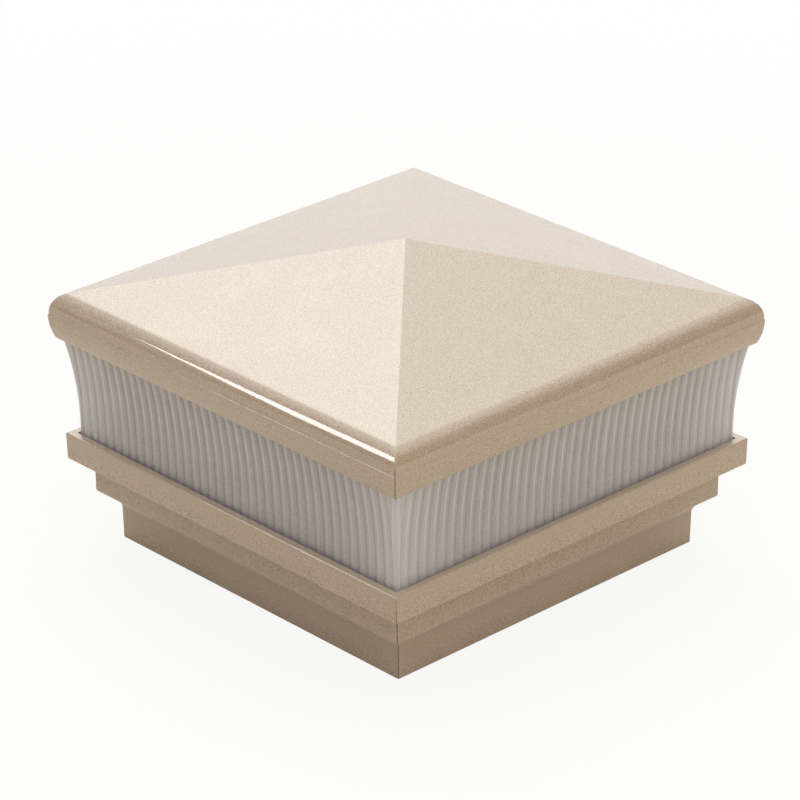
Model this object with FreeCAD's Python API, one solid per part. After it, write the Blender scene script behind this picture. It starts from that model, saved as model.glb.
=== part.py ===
import FreeCAD, Part
import math
import os
from FreeCAD import Vector

# Deck post cap light. Millimetres, +Z up. The origin is the centre of the skirt's lower rim, on the
# plane where the light would stand on a bench. A painted stepped base slips over a square post, a
# frosted reeded lens stands in its tray, and a four-sided roof sits on the lens and is held down by
# four cross-shaped legs that push into square rubber bushes in the base.

# ---- driving dimensions ------------------------------------------------------------------------

# post, and the base moulding from the skirt up
post_width = 114.3
post_clearance = 0.55
post_depth = 23.4
skirt_wall = 3.05
skirt_draft = 0.15
skirt_height = 9.1
cove_radius = 6.5
cove_reach = 5.65
step_height = 11.06
nose_radius = 1.0
flange_reach = 5.9
flange_draft = 0.15
flange_height = 8.7
flange_wall = 2.6
flange_edge = 0.5
base_wall = 2.8
deck_thickness = 3.0
guide_rib_width = 2.0
guide_rib_gap = 0.2
guide_ribs_per_side = 3
guide_rib_lead_in = 2.0
moat_rib_width = 2.0
moat_ribs_per_side = 3

# lens
lens_exposed = 31.4
lens_entry = 0.5
lens_clearance = 0.35
lens_wall = 3.1
reed_pitch = 3.565
reed_depth = 0.75
reed_facets = 3
reed_flank = 0.3
corner_radius = 1.2
corner_facets = 4
flare_radius = 140.0
flare_above_tray = 3.0
flare_lifts = 4
lens_gasket_thickness = 1.6

# roof
rim_clearance = 0.35
rim_lip = 0.78
rim_lip_inset = 1.5
rim_drop = 7.6
rim_flat = 0.7
rim_radius = 6.5
parting_step = 0.13
roof_pitch = 14.5
roof_rib_width = 2.0
roof_rib_depth = 4.0

# reflector and its gasket
roof_gasket_thickness = 1.2
plate_thickness = 2.0
plate_clearance = 0.3
pyramid_inset = 3.7
pyramid_depth = 18.0
pyramid_tip_half = 1.5
locating_rib_depth = 4.0
locating_rib_wall = 1.6
locating_clearance = 0.35
reflector_screw_inset = 14.5
reflector_screw_length = 9.0
reflector_boss = 7.0

# legs of the roof, their sockets in the base, and the rubber bushes between them
leg_inset = 8.0
leg_width = 6.0
leg_wall = 2.0
leg_taper = 0.3
leg_tip = 1.6
leg_gap = 0.1
leg_end_gap = 1.5
bush_wall = 1.9
bush_collar = 1.3
bush_collar_height = 1.2
socket_wall = 1.6
socket_height = 11.6
socket_floor = 1.0

# light engine
board_margin = 8.0
board_thickness = 1.6
pad_thickness = 0.4
spreader_margin = 4.0
spreader_thickness = 2.5
spreader_boss_height = 5.6
spreader_boss = 8.0
board_screw_inset = 3.4
pad_margin = 1.0
led_pitch = 9.0
leds_per_row = 4
led_size = 3.0
led_height = 0.8
led_window = 2.2
rectifier_size = (4.6, 4.0, 1.6)
driver_size = (4.9, 3.9, 1.5)
choke_size = 5.0
choke_height = 3.0
choke_window = 1.8
choke_window_depth = 0.6
capacitor_size = (3.2, 2.5, 2.2)
connector_size = (6.0, 8.0, 4.6)
connector_wire_height = 2.2
connector_pin_pitch = 3.0
connector_edge_inset = 0.5
port_depth = 2.0

# terminal block, leads and cable grommet, on the -X side of the deck
inlet_inset = 11.2
grommet_y = 14.0
grommet_bore = 3.0
grommet_neck = 6.0
grommet_flange = 8.0
grommet_flange_thickness = 1.2
block_inset = 10.2
block_y = -10.0
block_size = (17.0, 16.0, 8.6)
barrier_wall = 1.2
barrier_rise = 2.4
way_half_pitch = 3.9
cage_size = 4.2
cage_wall = 0.8
cage_inset = 2.0
well_radius = 1.9
foot_length = 9.0
foot_reach = 1.2
foot_height = 2.0
cradle_wall = 1.6
hook_reach = 0.9
lead_radius = 0.6
lead_sides = 8
lead_end_in_cage = 4.0
lead_straight = 5.0
lead_bend_share = 0.45

# fasteners
screw_clearance = 0.15
m3_shank = 1.45
m3_head = 2.8
m3_head_height = 1.9
m2_shank = 1.0
m2_head = 1.6
m2_head_height = 1.4
deck_screw_hole = 2.3
deck_screw_inset = 19.7
fit_gap = 0.05
small_round_sides = 12

# how far a rib runs into the wall that carries it, and a cut past the face that it opens
root = 1.0
overrun = 1.0

# ---- sizes that follow -------------------------------------------------------------------------

socket_half = post_width / 2 + post_clearance
skirt_half = socket_half + skirt_wall
step_half = skirt_half + cove_reach
flange_half = step_half + flange_reach
tray_half = flange_half - flange_wall
ledge_half = step_half - base_wall
lens_half = tray_half - lens_clearance

cove_centre_half = skirt_half + cove_radius
cove_half = step_half - nose_radius
cove_top_z = skirt_height + math.sqrt(cove_radius**2 - (cove_centre_half - cove_half)**2)
flange_bottom_z = cove_top_z + step_height
flange_top_z = flange_bottom_z + flange_height
ledge_z = flange_bottom_z + base_wall
deck_top_z = post_depth + deck_thickness
moat_floor_z = cove_top_z + base_wall

lens_bottom_z = ledge_z + lens_gasket_thickness
flare_start_z = flange_top_z + flare_above_tray
roof_bottom_z = flange_top_z + lens_exposed
lens_top_z = roof_bottom_z + lens_entry

plate_bottom_z = lens_top_z + roof_gasket_thickness
plate_top_z = plate_bottom_z + plate_thickness
parting_z = roof_bottom_z + rim_drop

leg_half = socket_half - leg_inset
bush_hole = leg_width / 2 + leg_gap
bush_half = bush_hole + bush_wall
boss_half = bush_half + fit_gap + socket_wall
pyramid_half = leg_half - leg_width / 2 - pyramid_inset
socket_top_z = deck_top_z + socket_height
socket_floor_z = deck_top_z + socket_floor
leg_end_z = socket_floor_z + leg_end_gap

spreader_z = deck_top_z + spreader_boss_height
pad_z = spreader_z + spreader_thickness
board_z = pad_z + pad_thickness
board_top_z = board_z + board_thickness

led_span_half = ((leds_per_row - 1) * led_pitch + led_size) / 2
pad_half = led_span_half + pad_margin
board_half = led_span_half + board_margin
board_screw_half = board_half - board_screw_inset
spreader_half = board_half + spreader_margin

inlet_x = inlet_inset - socket_half
block_x = block_inset - socket_half
cage_z = deck_top_z + base_wall / 2 + cage_size / 2
deck_screw_half = socket_half - deck_screw_inset

turned_x = Vector(1, 0, 0)
turned_z = Vector(0, 0, 1)
origin = Vector(0, 0, 0)


def lens_half_at(z):
    """Half width of the lens at height z, over the crests of its reeds."""
    rise = max(z - flare_start_z, 0)
    return lens_half + flare_radius - math.sqrt(flare_radius**2 - rise**2)


lens_top_half = lens_half_at(lens_top_z)
rim_inner_half = lens_top_half + rim_clearance
rim_mouth_half = rim_inner_half + rim_lip
roof_half = rim_mouth_half + rim_lip_inset
rim_centre_half = roof_half - parting_step - rim_radius
rim_centre_z = parting_z + rim_flat
plate_half = rim_inner_half - plate_clearance
reflector_screw_half = plate_half - reflector_screw_inset


# ---- shared shapes -----------------------------------------------------------------------------

def on_circle(centre_x, centre_z, radius, degrees):
    """X, Z of a point on a circle in the XZ plane. The degrees run from +X towards +Z."""
    turn = math.radians(degrees)
    return (centre_x + radius * math.cos(turn), centre_z + radius * math.sin(turn))


def outline(start, steps):
    """Edges in the XZ plane. A step is the next point, or an arc's middle point and end point."""
    edges = []
    here = Vector(start[0], 0, start[1])
    for step in steps:
        if isinstance(step[0], tuple):
            middle = Vector(step[0][0], 0, step[0][1])
            there = Vector(step[1][0], 0, step[1][1])
            edges.append(Part.Arc(here, middle, there).toShape())
        else:
            there = Vector(step[0], 0, step[1])
            edges.append(Part.makeLine(here, there))
        here = there
    return edges


def square_solid(edges):
    """Solid of square plan, mitred at its corners. Its half width at each height is that of the
    edges, a chain that starts and ends on the Z axis."""
    mirrored = [edge.mirror(origin, turned_x) for edge in edges]
    face = Part.Face(Part.Wire(Part.__sortEdges__(edges + mirrored)))
    reach = face.BoundBox.XMax + 1
    prism = face.translated(Vector(0, -reach, 0)).extrude(Vector(0, 2 * reach, 0))
    return prism.common(prism.rotated(origin, turned_z, 90)).removeSplitter()


def block(half, low_z, high_z):
    """Square block about the Z axis."""
    return Part.makeBox(2 * half, 2 * half, high_z - low_z, Vector(-half, -half, low_z))


def box_at(x, y, low_z, size):
    """Box centred on x, y, standing on low_z."""
    corner = Vector(x - size[0] / 2, y - size[1] / 2, low_z)
    return Part.makeBox(size[0], size[1], size[2], corner)


def square_bar(x, y, width, low_z, high_z):
    """Upright bar of square section, centred on x, y."""
    return box_at(x, y, low_z, (width, width, high_z - low_z))


def cylinder(radius, x, y, low_z, high_z):
    """Upright cylinder, centred on x, y."""
    return Part.makeCylinder(radius, high_z - low_z, Vector(x, y, low_z))


def small_round(radius, x, y, low_z, high_z):
    """Upright prism of many sides, for the small screws and the holes and wells that they run in."""
    corners = []
    for side in range(small_round_sides + 1):
        angle = 2 * math.pi * side / small_round_sides
        corners.append(Vector(x + radius * math.cos(angle), y + radius * math.sin(angle), low_z))
    return Part.Face(Part.makePolygon(corners)).extrude(Vector(0, 0, high_z - low_z))


def turned(profile, x, y):
    """Solid turned about a vertical axis at x, y from its half section, a list of radius, z."""
    points = [Vector(radius, 0, z) for radius, z in profile]
    face = Part.Face(Part.makePolygon(points + points[:1]))
    return face.revolve(origin, turned_z, 360).translated(Vector(x, y, 0))


def four_corners(half):
    return [(-half, -half), (half, -half), (half, half), (-half, half)]


def four_sides(half):
    return [(0, -half), (half, 0), (0, half), (-half, 0)]


def spread(count, span):
    """Evenly spaced places, count of them, with the same space at both ends of span."""
    pitch = span / count
    return [(index + 0.5) * pitch - span / 2 for index in range(count)]


def screw(x, y, seat_z, point_z, shank, head, head_height):
    """Screw with a plain head. Its head sits on seat_z, away from point_z."""
    outward = 1 if seat_z > point_z else -1
    head_z = seat_z + outward * head_height
    body = small_round(shank, x, y, min(seat_z, point_z), max(seat_z, point_z))
    return body.fuse(small_round(head, x, y, min(seat_z, head_z), max(seat_z, head_z)))


# ---- base --------------------------------------------------------------------------------------

def moulding_outline():
    """Right half of the base moulding: skirt, cove, rounded nose, step and flange."""
    low_edge_half = flange_half - flange_draft
    nose_z = cove_top_z + nose_radius
    low_edge_z = flange_bottom_z + flange_edge
    high_edge_z = flange_top_z - flange_edge
    cove_middle = on_circle(cove_centre_half, skirt_height, cove_radius, 135)
    nose_middle = on_circle(cove_half, nose_z, nose_radius, -45)
    low_middle = on_circle(low_edge_half - flange_edge, low_edge_z, flange_edge, -45)
    high_middle = on_circle(flange_half - flange_edge, high_edge_z, flange_edge, 45)
    return outline((0, 0), [
        (skirt_half, 0),
        (skirt_half + skirt_draft, skirt_height),
        (cove_middle, (cove_half, cove_top_z)),
        (nose_middle, (step_half, nose_z)),
        (step_half, flange_bottom_z),
        (low_edge_half - flange_edge, flange_bottom_z),
        (low_middle, (low_edge_half, low_edge_z)),
        (flange_half, high_edge_z),
        (high_middle, (flange_half - flange_edge, flange_top_z)),
        (0, flange_top_z),
    ])


def guide_ribs():
    """Ribs inside the skirt that take up the clearance to the post, with a lead-in at the bottom."""
    depth = post_clearance - guide_rib_gap
    profile = [
        Vector(socket_half, 0, 0),
        Vector(socket_half - depth, 0, guide_rib_lead_in),
        Vector(socket_half - depth, 0, post_depth),
        Vector(socket_half + root, 0, post_depth),
        Vector(socket_half + root, 0, 0),
    ]
    face = Part.Face(Part.makePolygon(profile + profile[:1]))
    rib = face.extrude(Vector(0, guide_rib_width, 0)).translated(Vector(0, -guide_rib_width / 2, 0))
    ribs = []
    for y in spread(guide_ribs_per_side, 2 * socket_half):
        for turn in range(4):
            ribs.append(rib.translated(Vector(0, y, 0)).rotated(origin, turned_z, 90 * turn))
    return ribs


def moat_ribs():
    """Ribs across the moat, between the socket wall and the outer wall of the step."""
    start = socket_half + base_wall / 2
    length = ledge_half - socket_half
    low_z = moat_floor_z - base_wall / 2
    ribs = []
    for y in spread(moat_ribs_per_side, 2 * leg_half):
        rib = box_at(start + length / 2, y, low_z, (length, moat_rib_width, deck_top_z - low_z))
        for turn in range(4):
            ribs.append(rib.rotated(origin, turned_z, 90 * turn))
    return ribs


def block_cradle():
    """Two hooked walls that the terminal block's feet snap under."""
    inner_y = block_size[1] / 2 + foot_reach + 2 * fit_gap
    hook_z = deck_top_z + foot_height + 2 * fit_gap
    profile = [
        Vector(0, inner_y, deck_top_z - root),
        Vector(0, inner_y, hook_z),
        Vector(0, inner_y - hook_reach, hook_z),
        Vector(0, inner_y - hook_reach, hook_z + hook_reach / 2),
        Vector(0, inner_y, hook_z + 2 * hook_reach),
        Vector(0, inner_y + cradle_wall, hook_z + 2 * hook_reach),
        Vector(0, inner_y + cradle_wall, deck_top_z - root),
    ]
    wall = Part.Face(Part.makePolygon(profile + profile[:1])).extrude(Vector(foot_length, 0, 0))
    walls = [wall, wall.mirror(origin, Vector(0, 1, 0))]
    return [one.translated(Vector(block_x - foot_length / 2, block_y, 0)) for one in walls]


def base_frame():
    """The moulding, hollowed for the post from below and for the lens and light engine from above."""
    body = square_solid(moulding_outline())
    body = body.cut(block(socket_half, -overrun, post_depth))
    body = body.cut(block(tray_half, ledge_z, flange_top_z + overrun))
    body = body.cut(block(ledge_half, deck_top_z, ledge_z + overrun))
    moat = block(ledge_half, moat_floor_z, deck_top_z + overrun)
    moat = moat.cut(block(socket_half + base_wall, moat_floor_z, deck_top_z + overrun))
    body = body.cut(moat)
    added = guide_ribs() + moat_ribs() + block_cradle()
    for x, y in four_corners(leg_half):
        added.append(square_bar(x, y, 2 * boss_half, post_depth, socket_top_z))
    for x, y in four_corners(board_screw_half):
        added.append(square_bar(x, y, spreader_boss, post_depth, spreader_z))
    body = body.multiFuse(added)
    holes = []
    bush_room = 2 * (bush_half + fit_gap)
    for x, y in four_corners(leg_half):
        holes.append(square_bar(x, y, bush_room, socket_floor_z, socket_top_z + overrun))
    for x, y in board_screw_places():
        holes.append(small_round(m3_shank + fit_gap, x, y, deck_top_z, spreader_z + overrun))
    for x, y in four_corners(deck_screw_half):
        holes.append(cylinder(deck_screw_hole, x, y, post_depth - overrun, deck_top_z + overrun))
    neck_hole = grommet_neck + fit_gap
    holes.append(cylinder(neck_hole, inlet_x, grommet_y, 0, deck_top_z + overrun))
    recess_top_z = post_depth + grommet_flange_thickness + screw_clearance
    holes.append(cylinder(grommet_flange + screw_clearance, inlet_x, grommet_y, 0, recess_top_z))
    return body.cut(Part.makeCompound(holes)).removeSplitter()


def lens_gasket():
    outer_half = tray_half - screw_clearance
    inner_half = lens_half - lens_wall - screw_clearance
    ring = block(outer_half, ledge_z, lens_bottom_z)
    return ring.cut(block(inner_half, ledge_z, lens_bottom_z))


def leg_bushes():
    """Square rubber bush in each base socket, with a collar on the socket's rim."""
    collar_z = socket_top_z + bush_collar_height
    bushes = []
    for x, y in four_corners(leg_half):
        bush = square_bar(x, y, 2 * bush_half, socket_floor_z, socket_top_z)
        bush = bush.fuse(square_bar(x, y, 2 * (bush_half + bush_collar), socket_top_z, collar_z))
        bushes.append(bush.cut(square_bar(x, y, 2 * bush_hole, socket_floor_z, collar_z)))
    return bushes


def cable_grommet():
    """Rubber grommet that seals the supply cord: two flanges and a neck round the bore. The lower
    flange lies in a recess, so that nothing stands proud of the face that rests on the post."""
    neck_low_z = post_depth + grommet_flange_thickness + screw_clearance
    top_z = deck_top_z + grommet_flange_thickness
    profile = [
        (grommet_bore, post_depth + screw_clearance),
        (grommet_flange, post_depth + screw_clearance),
        (grommet_flange, neck_low_z),
        (grommet_neck, neck_low_z),
        (grommet_neck, deck_top_z),
        (grommet_flange, deck_top_z),
        (grommet_flange, top_z),
        (grommet_bore, top_z),
    ]
    return turned(profile, inlet_x, grommet_y)


# ---- light engine ------------------------------------------------------------------------------

def board_screw_places():
    """Two opposite corners of the board. The other two rest on bosses without a screw."""
    return four_corners(board_screw_half)[1::2]


def drilled_plate(half, low_z, thickness):
    """Square plate with a hole at each board screw."""
    top_z = low_z + thickness
    plate = block(half, low_z, top_z)
    for x, y in board_screw_places():
        plate = plate.cut(small_round(m3_shank + screw_clearance, x, y, low_z, top_z))
    return plate


def board_screws():
    depth = board_top_z - deck_top_z - 2 * screw_clearance
    return [
        screw(x, y, board_top_z, board_top_z - depth, m3_shank, m3_head, m3_head_height)
        for x, y in board_screw_places()
    ]


def led_chips():
    """Square packages with a sunk window, in rows that leave the middle free for the driver."""
    first = -(leds_per_row - 1) / 2 * led_pitch
    window_z = board_top_z + led_height / 2
    chips = []
    for row in range(leds_per_row):
        for column in range(leds_per_row):
            x = first + column * led_pitch
            y = first + row * led_pitch
            package = square_bar(x, y, led_size, board_top_z, board_top_z + led_height)
            chips.append(package.cut(square_bar(x, y, led_window, window_z, window_z + led_height)))
    return chips


def choke():
    """Shielded choke: square ferrite body with a winding window in its top."""
    top_z = board_top_z + choke_height
    body = square_bar(0, led_pitch, choke_size, board_top_z, top_z)
    return body.cut(small_round(choke_window, 0, led_pitch, top_z - choke_window_depth, top_z))


def capacitors():
    return [box_at(x, 0, board_top_z, capacitor_size) for x in (-led_pitch, led_pitch)]


connector_x = connector_size[0] / 2 - board_half + connector_edge_inset
connector_face_x = connector_x - connector_size[0] / 2
lead_rows = [(-way_half_pitch, -connector_pin_pitch / 2), (way_half_pitch, connector_pin_pitch / 2)]


def board_connector():
    """Two-pole board connector, with a square port for each lead in its outer face."""
    body = box_at(connector_x, block_y, board_top_z, connector_size)
    port = 2 * (lead_radius + fit_gap)
    for _, offset in lead_rows:
        body = body.cut(box_at(
            connector_face_x + port_depth / 2,
            block_y + offset,
            board_top_z + connector_wire_height - port / 2,
            (port_depth, port, port),
        ))
    return body


def way_places():
    """Y of each way of the terminal block."""
    return [block_y - way_half_pitch, block_y + way_half_pitch]


def screw_places():
    """X, Y of the terminal screws: one at each end of each way."""
    reach = block_size[0] / 2 - cage_inset - cage_size / 2
    return [(block_x + end * reach, y) for y in way_places() for end in (-1, 1)]


def terminal_block():
    """Moulded block with a tunnel along each way, wells down to its screws, barriers between the
    ways and a foot each side."""
    top_z = deck_top_z + block_size[2]
    body = box_at(block_x, block_y, deck_top_z, block_size)
    foot = (foot_length - 2 * fit_gap, block_size[1] + 2 * foot_reach, foot_height)
    body = body.fuse(box_at(block_x, block_y, deck_top_z, foot))
    barrier_half = (block_size[1] - barrier_wall) / 2
    for y in (block_y - barrier_half, block_y, block_y + barrier_half):
        body = body.fuse(box_at(block_x, y, top_z, (block_size[0], barrier_wall, barrier_rise)))
    tunnel = cage_size + 2 * fit_gap
    for y in way_places():
        body = body.cut(box_at(block_x, y, cage_z - tunnel / 2, (block_size[0], tunnel, tunnel)))
    for x, y in screw_places():
        body = body.cut(small_round(well_radius, x, y, cage_z, top_z + overrun))
    return body.removeSplitter()


def terminal_cages():
    """Brass cage in each tunnel: a square tube with a tapped hole at each end."""
    length = block_size[0] - 2 * cage_inset
    window = cage_size - 2 * cage_wall
    cages = []
    for y in way_places():
        cage = box_at(block_x, y, cage_z - cage_size / 2, (length, cage_size, cage_size))
        cage = cage.cut(box_at(block_x, y, cage_z - window / 2, (length, window, window)))
        for x, screw_y in screw_places():
            if screw_y == y:
                cage = cage.cut(small_round(m2_shank + fit_gap, x, y, cage_z, cage_z + cage_size))
        cages.append(cage)
    return cages


def terminal_screws():
    """Clamp screws, run down until they meet the leads."""
    seat_z = cage_z + cage_size / 2 + 2 * fit_gap
    tip_z = cage_z + lead_radius + fit_gap
    return [screw(x, y, seat_z, tip_z, m2_shank, m2_head, m2_head_height) for x, y in screw_places()]


def tube(points, radius):
    """Lead along straight runs joined by arcs, each as large as its two runs allow. It starts along
    X, with a section of lead_sides sides."""
    edges = []
    here = points[0]
    for before, corner, after in zip(points, points[1:], points[2:]):
        shorter = min((corner - before).Length, (after - corner).Length)
        arriving = (corner - before).normalize()
        leaving = (after - corner).normalize()
        turn = arriving.getAngle(leaving)
        trim = lead_bend_share * shorter
        bend_radius = trim / math.tan(turn / 2)
        start = corner - arriving * trim
        end = corner + leaving * trim
        inward = (leaving - arriving).normalize()
        centre = corner + inward * (bend_radius / math.cos(turn / 2))
        middle = centre - inward * bend_radius
        edges.append(Part.makeLine(here, start))
        edges.append(Part.Arc(start, middle, end).toShape())
        here = end
        print("lead bend radius", round(bend_radius, 2))
    edges.append(Part.makeLine(here, points[-1]))
    path = Part.Wire(edges)
    corners = []
    for side in range(lead_sides + 1):
        angle = 2 * math.pi * (side + 0.5) / lead_sides
        corners.append(points[0] + Vector(0, radius * math.cos(angle), radius * math.sin(angle)))
    section = Part.makePolygon(corners)
    solid = path.makePipeShell([section], True, False)
    area = Part.Face(section).Area
    print("lead volume over section times length", round(solid.Volume / (area * path.Length), 4))
    return solid


def lead(row):
    """Lead from its cage in the terminal block up over the spreader to the board connector."""
    way, pin = lead_rows[row]
    block_face_x = block_x + block_size[0] / 2
    connector_z = board_top_z + connector_wire_height
    return tube([
        Vector(block_face_x - cage_inset - lead_end_in_cage, block_y + way, cage_z),
        Vector(block_face_x + lead_straight, block_y + way, cage_z),
        Vector(connector_face_x - lead_straight, block_y + pin, connector_z),
        Vector(connector_face_x + port_depth - fit_gap, block_y + pin, connector_z),
    ], lead_radius)


# ---- lens --------------------------------------------------------------------------------------

def reed_span():
    """Half the width that the whole reeds cover on a side, short of the rounded corners."""
    room = lens_half - corner_radius - reed_flank
    return reed_pitch * math.floor(room / reed_pitch)


def turned_round(side, z):
    """Corner points of a square plan from those of one side, at height z."""
    points = []
    for turn in range(4):
        rotation = FreeCAD.Rotation(turned_z, 90 * turn)
        points += [rotation.multVec(Vector(x, y, z)) for x, y in side]
    return points


def lens_plan(z):
    """Plan of the outside of the lens at height z: convex reeds along each side, a plain strip at
    both ends of them, and rounded corners. The reeds keep their places as the lens flares."""
    half = lens_half_at(z)
    span = reed_span()
    reed_radius = ((reed_pitch / 2)**2 + reed_depth**2) / (2 * reed_depth)
    reed_angle = math.asin(reed_pitch / 2 / reed_radius)
    side = [(-span - reed_flank, -half)]
    for reed in range(round(2 * span / reed_pitch)):
        crest_x = (reed + 0.5) * reed_pitch - span
        for facet in range(reed_facets):
            angle = reed_angle * (2 * facet / reed_facets - 1)
            depth = reed_radius * (1 - math.cos(angle))
            side.append((crest_x + reed_radius * math.sin(angle), depth - half))
    side.append((span, reed_depth - half))
    side.append((span + reed_flank, -half))
    for facet in range(corner_facets + 1):
        angle = math.radians(90) * facet / corner_facets
        side.append((
            half - corner_radius * (1 - math.sin(angle)),
            corner_radius * (1 - math.cos(angle)) - half,
        ))
    return turned_round(side, z)


def closed(points):
    return Part.makePolygon(points + points[:1])


def flat_loft(plans):
    """Solid through plans with the same number of points, whose matching edges are parallel."""
    faces = [Part.Face(closed(plans[0])), Part.Face(closed(plans[-1]))]
    for lower, upper in zip(plans, plans[1:]):
        for index in range(len(lower)):
            corners = [lower[index - 1], lower[index], upper[index], upper[index - 1]]
            faces.append(Part.Face(closed(corners)))
    return Part.Solid(Part.Shell(faces))


def lens_ring():
    """Reeded lens, straight in the tray and then flared on a large arc in even lifts. Each reed runs
    up the flare square to its side, so that all the faces between two levels are flat."""
    rise = (lens_top_z - flare_start_z) / flare_lifts
    levels = [lens_bottom_z] + [flare_start_z + lift * rise for lift in range(flare_lifts + 1)]
    outside = flat_loft([lens_plan(z) for z in levels])
    inside = []
    for z in levels:
        inner_half = lens_half_at(z) - lens_wall
        inside.append(turned_round([(-inner_half, -inner_half)], z))
    return outside.cut(flat_loft(inside))


# ---- roof --------------------------------------------------------------------------------------

def roof_outline(radius, low_half, mouth):
    """Right half of a roof surface: rim mouth, rim, rounded edge and slope up to the apex. The
    rounded edge has this radius about the rim's centre."""
    pitch = math.radians(roof_pitch)
    tangent = (
        rim_centre_half + radius * math.sin(pitch),
        rim_centre_z + radius * math.cos(pitch),
    )
    half_turn = (math.radians(90) + pitch) / 2
    middle = (
        rim_centre_half + radius * math.sin(half_turn),
        rim_centre_z + radius * math.cos(half_turn),
    )
    apex_z = tangent[1] + tangent[0] * math.tan(pitch)
    widest = rim_centre_half + radius
    return outline((0, roof_bottom_z), [
        (low_half, roof_bottom_z),
        *mouth,
        (widest, rim_centre_z),
        (middle, tangent),
        (0, apex_z),
    ])


def roof_outside():
    """The outer form, down to the rim's mouth, with the fine step of the parting line."""
    lip_radius = (rim_drop**2 + rim_lip_inset**2) / (2 * rim_lip_inset)
    half_drop = rim_drop / 2
    middle_half = roof_half - lip_radius + math.sqrt(lip_radius**2 - half_drop**2)
    rim = [
        ((middle_half, parting_z - half_drop), (roof_half, parting_z)),
        (roof_half - parting_step, parting_z),
    ]
    return square_solid(roof_outline(rim_radius, rim_mouth_half, rim))


def roof_cavity():
    inner_radius = rim_inner_half - rim_centre_half
    return square_solid(roof_outline(inner_radius, rim_inner_half, []))


def roof_ribs(cavity, top_z):
    """Ribs under the roof, along the hips and across the middle of each side."""
    depth = top_z - plate_top_z
    along = box_at(0, 0, plate_top_z, (2 * reflector_screw_half, roof_rib_width, depth))
    hip = box_at(0, 0, plate_top_z, (2 * math.sqrt(2) * leg_half, roof_rib_width, depth))
    bars = [along, along.rotated(origin, turned_z, 90)]
    bars += [hip.rotated(origin, turned_z, 45), hip.rotated(origin, turned_z, -45)]
    lowered = cavity.translated(Vector(0, 0, -roof_rib_depth))
    return [bar.cut(lowered) for bar in bars]


def leg(x, y, top_z):
    """Leg of cross section, tapered and bevelled at its end."""
    root = leg_width / 2
    end = root - leg_taper
    profile = [
        Vector(-root, 0, top_z),
        Vector(-end, 0, leg_end_z + leg_tip),
        Vector(leg_tip - end, 0, leg_end_z),
        Vector(end - leg_tip, 0, leg_end_z),
        Vector(end, 0, leg_end_z + leg_tip),
        Vector(root, 0, top_z),
    ]
    blade = Part.Face(Part.makePolygon(profile + profile[:1])).extrude(Vector(0, leg_wall, 0))
    blade = blade.translated(Vector(0, -leg_wall / 2, 0))
    return blade.fuse(blade.rotated(origin, turned_z, 90)).translated(Vector(x, y, 0))


def reflector_screw_places():
    """The middles of two opposite sides. The other two sides have seats without a screw."""
    return four_sides(reflector_screw_half)[1::2]


def roof_cap():
    """Shell of the roof, with its ribs, the seats that the reflector plate lies against, and the
    four legs that stand out of it."""
    outside = roof_outside()
    cavity = roof_cavity()
    top_z = outside.BoundBox.ZMax
    inside = roof_ribs(cavity, top_z)
    for x, y in four_corners(leg_half):
        inside.append(square_bar(x, y, leg_width + 2 * roof_rib_width, plate_top_z, top_z))
    for x, y in four_sides(reflector_screw_half):
        inside.append(square_bar(x, y, reflector_boss, plate_top_z, top_z))
    inside = inside[0].multiFuse(inside[1:]).common(outside)
    body = outside.cut(cavity).fuse(inside)
    body = body.multiFuse([leg(x, y, plate_top_z + root) for x, y in four_corners(leg_half)])
    hole_top_z = plate_top_z + reflector_screw_length
    for x, y in reflector_screw_places():
        body = body.cut(small_round(m3_shank + fit_gap, x, y, plate_top_z, hole_top_z))
    return body.removeSplitter()


def roof_gasket():
    outer_half = plate_half - screw_clearance
    inner_half = lens_top_half - lens_wall
    ring = block(outer_half, lens_top_z, plate_bottom_z)
    return ring.cut(block(inner_half, lens_top_z, plate_bottom_z))


def pyramid(radius, centre_z, low_z, high_z):
    """Square trumpet with its tip down. Its flanks are arcs about a centre below its rim."""
    def half_at(z):
        return pyramid_half - math.sqrt(radius**2 - (z - centre_z)**2)

    middle_z = (low_z + high_z) / 2
    return square_solid(outline((0, low_z), [
        (half_at(low_z), low_z),
        ((half_at(middle_z), middle_z), (half_at(high_z), high_z)),
        (0, high_z),
    ]))


def reflector():
    """White moulded plate that closes the roof. A hollow pyramid hangs from it over the LEDs, and a
    rib locates it inside the top of the lens."""
    run = pyramid_half - pyramid_tip_half
    radius = (run**2 + pyramid_depth**2) / (2 * pyramid_depth)
    centre_z = plate_bottom_z - radius
    tip_z = plate_bottom_z - pyramid_depth
    body = block(plate_half, plate_bottom_z, plate_top_z)
    body = body.fuse(pyramid(radius, centre_z, tip_z, plate_bottom_z))
    rib_z = plate_bottom_z - locating_rib_depth
    rib_half = lens_half_at(rib_z) - lens_wall - locating_clearance
    rib = block(rib_half, rib_z, plate_bottom_z)
    body = body.fuse(rib.cut(block(rib_half - locating_rib_wall, rib_z, plate_bottom_z)))
    inner_radius = radius + plate_thickness
    inner_tip_z = centre_z + math.sqrt(inner_radius**2 - (pyramid_half - pyramid_tip_half)**2)
    body = body.cut(pyramid(inner_radius, centre_z, inner_tip_z, plate_top_z))
    for x, y in four_corners(leg_half):
        body = body.cut(square_bar(x, y, leg_width + 2 * screw_clearance, rib_z, plate_top_z))
    for x, y in reflector_screw_places():
        body = body.cut(small_round(m3_shank + screw_clearance, x, y, rib_z, plate_top_z))
    return body.removeSplitter()


def reflector_screws():
    point_z = plate_top_z + reflector_screw_length - screw_clearance
    return [
        screw(x, y, plate_bottom_z, point_z, m3_shank, m3_head, m3_head_height)
        for x, y in reflector_screw_places()
    ]


# ---- the assembly ------------------------------------------------------------------------------

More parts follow.
